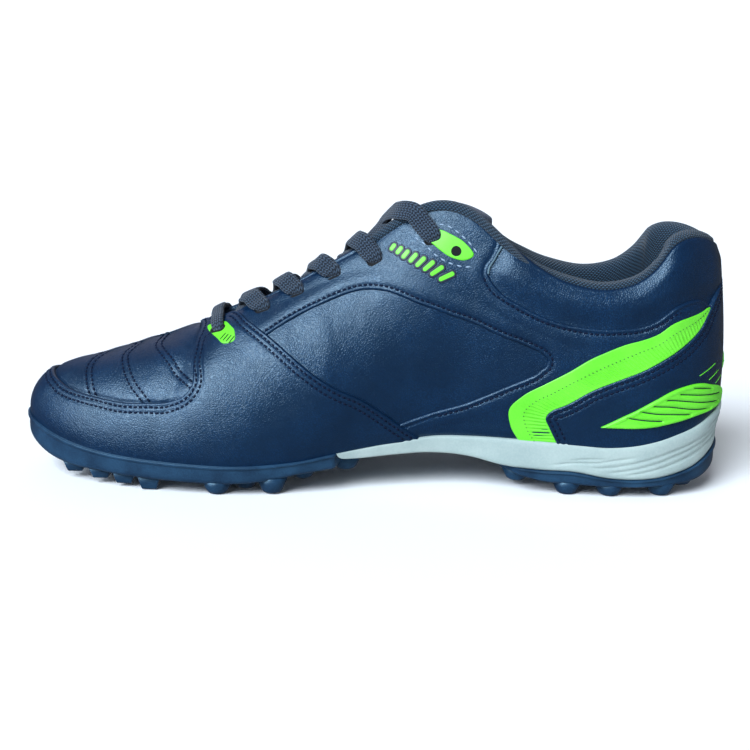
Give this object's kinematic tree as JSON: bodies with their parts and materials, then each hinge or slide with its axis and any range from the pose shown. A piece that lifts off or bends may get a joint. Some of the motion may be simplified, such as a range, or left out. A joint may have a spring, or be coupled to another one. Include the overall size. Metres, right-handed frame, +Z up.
{
  "type": "turf shoe",
  "caption": "Low turf shoe for the right foot, navy leather with lime trim, pale foam heel wedge, studded rubber sole and flat laces",
  "frame": {"origin": "middle of the bounding box, on the ground plane under the studs", "axes": "+X from heel to toe, +Y to the inner side of the right foot, +Z up"},
  "size_m": [0.3007, 0.1037, 0.1211],
  "materials": {
    "navy_rubber": "moulded, satin",
    "pale_foam": "moulded foam, satin",
    "navy_leather": "coated synthetic leather, fine grain, semi-gloss",
    "lime_film": "moulded, semi-gloss",
    "lining_knit": "spacer mesh, matt",
    "lace_cloth": "flat woven lace, matt"
  },
  "bodies": {
    "root": {"outsole": "navy_rubber", "midsole": "pale_foam", "insole": "lining_knit", "upper": "navy_leather", "tongue": "navy_leather", "collar_lining": "lining_knit", "toe_guard": "navy_leather", "heel_counter": "navy_leather", "eyestay_inner": "navy_leather", "eyestay_outer": "navy_leather", "side_band_inner": "lime_film", "side_band_outer": "lime_film", "heel_insert_inner": "lime_film", "heel_insert_outer": "lime_film", "lace_bar": "lace_cloth", "lace_crossing_1": "lace_cloth", "lace_crossing_2": "lace_cloth", "lace_crossing_3": "lace_cloth", "lace_crossing_4": "lace_cloth", "lace_crossing_5": "lace_cloth"}
  },
  "joints": []
}
